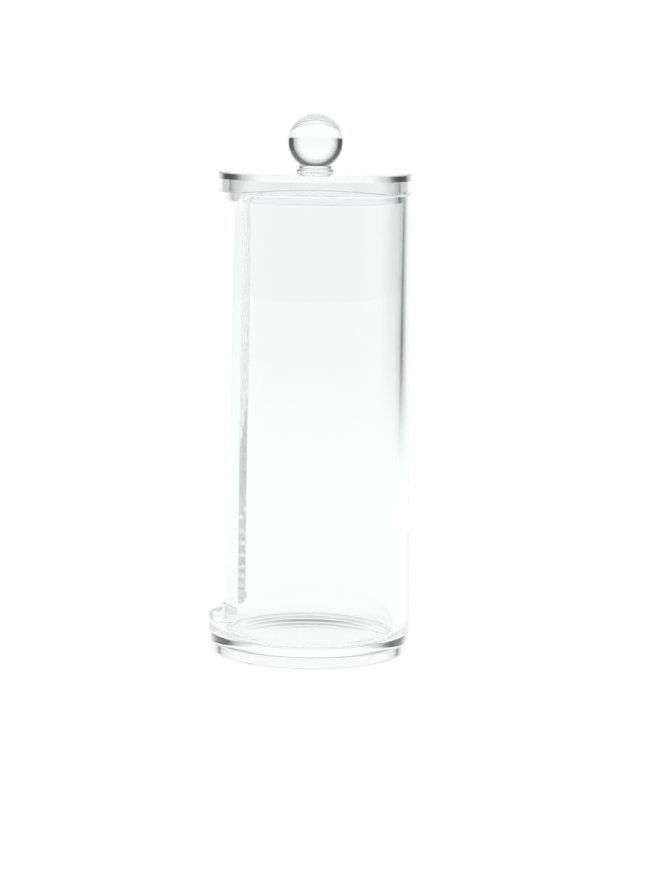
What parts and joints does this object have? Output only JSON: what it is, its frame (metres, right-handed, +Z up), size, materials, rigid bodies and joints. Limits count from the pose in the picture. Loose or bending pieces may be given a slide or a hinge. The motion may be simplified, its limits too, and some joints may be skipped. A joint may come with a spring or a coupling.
{
  "type": "cotton pad container",
  "caption": "Upright clear plastic container for round cotton pads, with a tall open slot in its wall, a lift-off lid and a ball knob.",
  "frame": {"origin": "centre of the underside, in the plane of the surface it stands on", "axes": "+Z up along the container's axis, -Y out through the middle of the slot, +X to the right seen from the slot"},
  "size_m": [0.0746, 0.0746, 0.1976],
  "materials": {
    "clear_body": "clear, gloss moulded",
    "clear_lid": "clear, gloss moulded",
    "clear_knob": "clear, gloss moulded"
  },
  "bodies": {
    "root": {"body": "clear_body", "lid": "clear_lid", "knob": "clear_knob"}
  },
  "joints": []
}
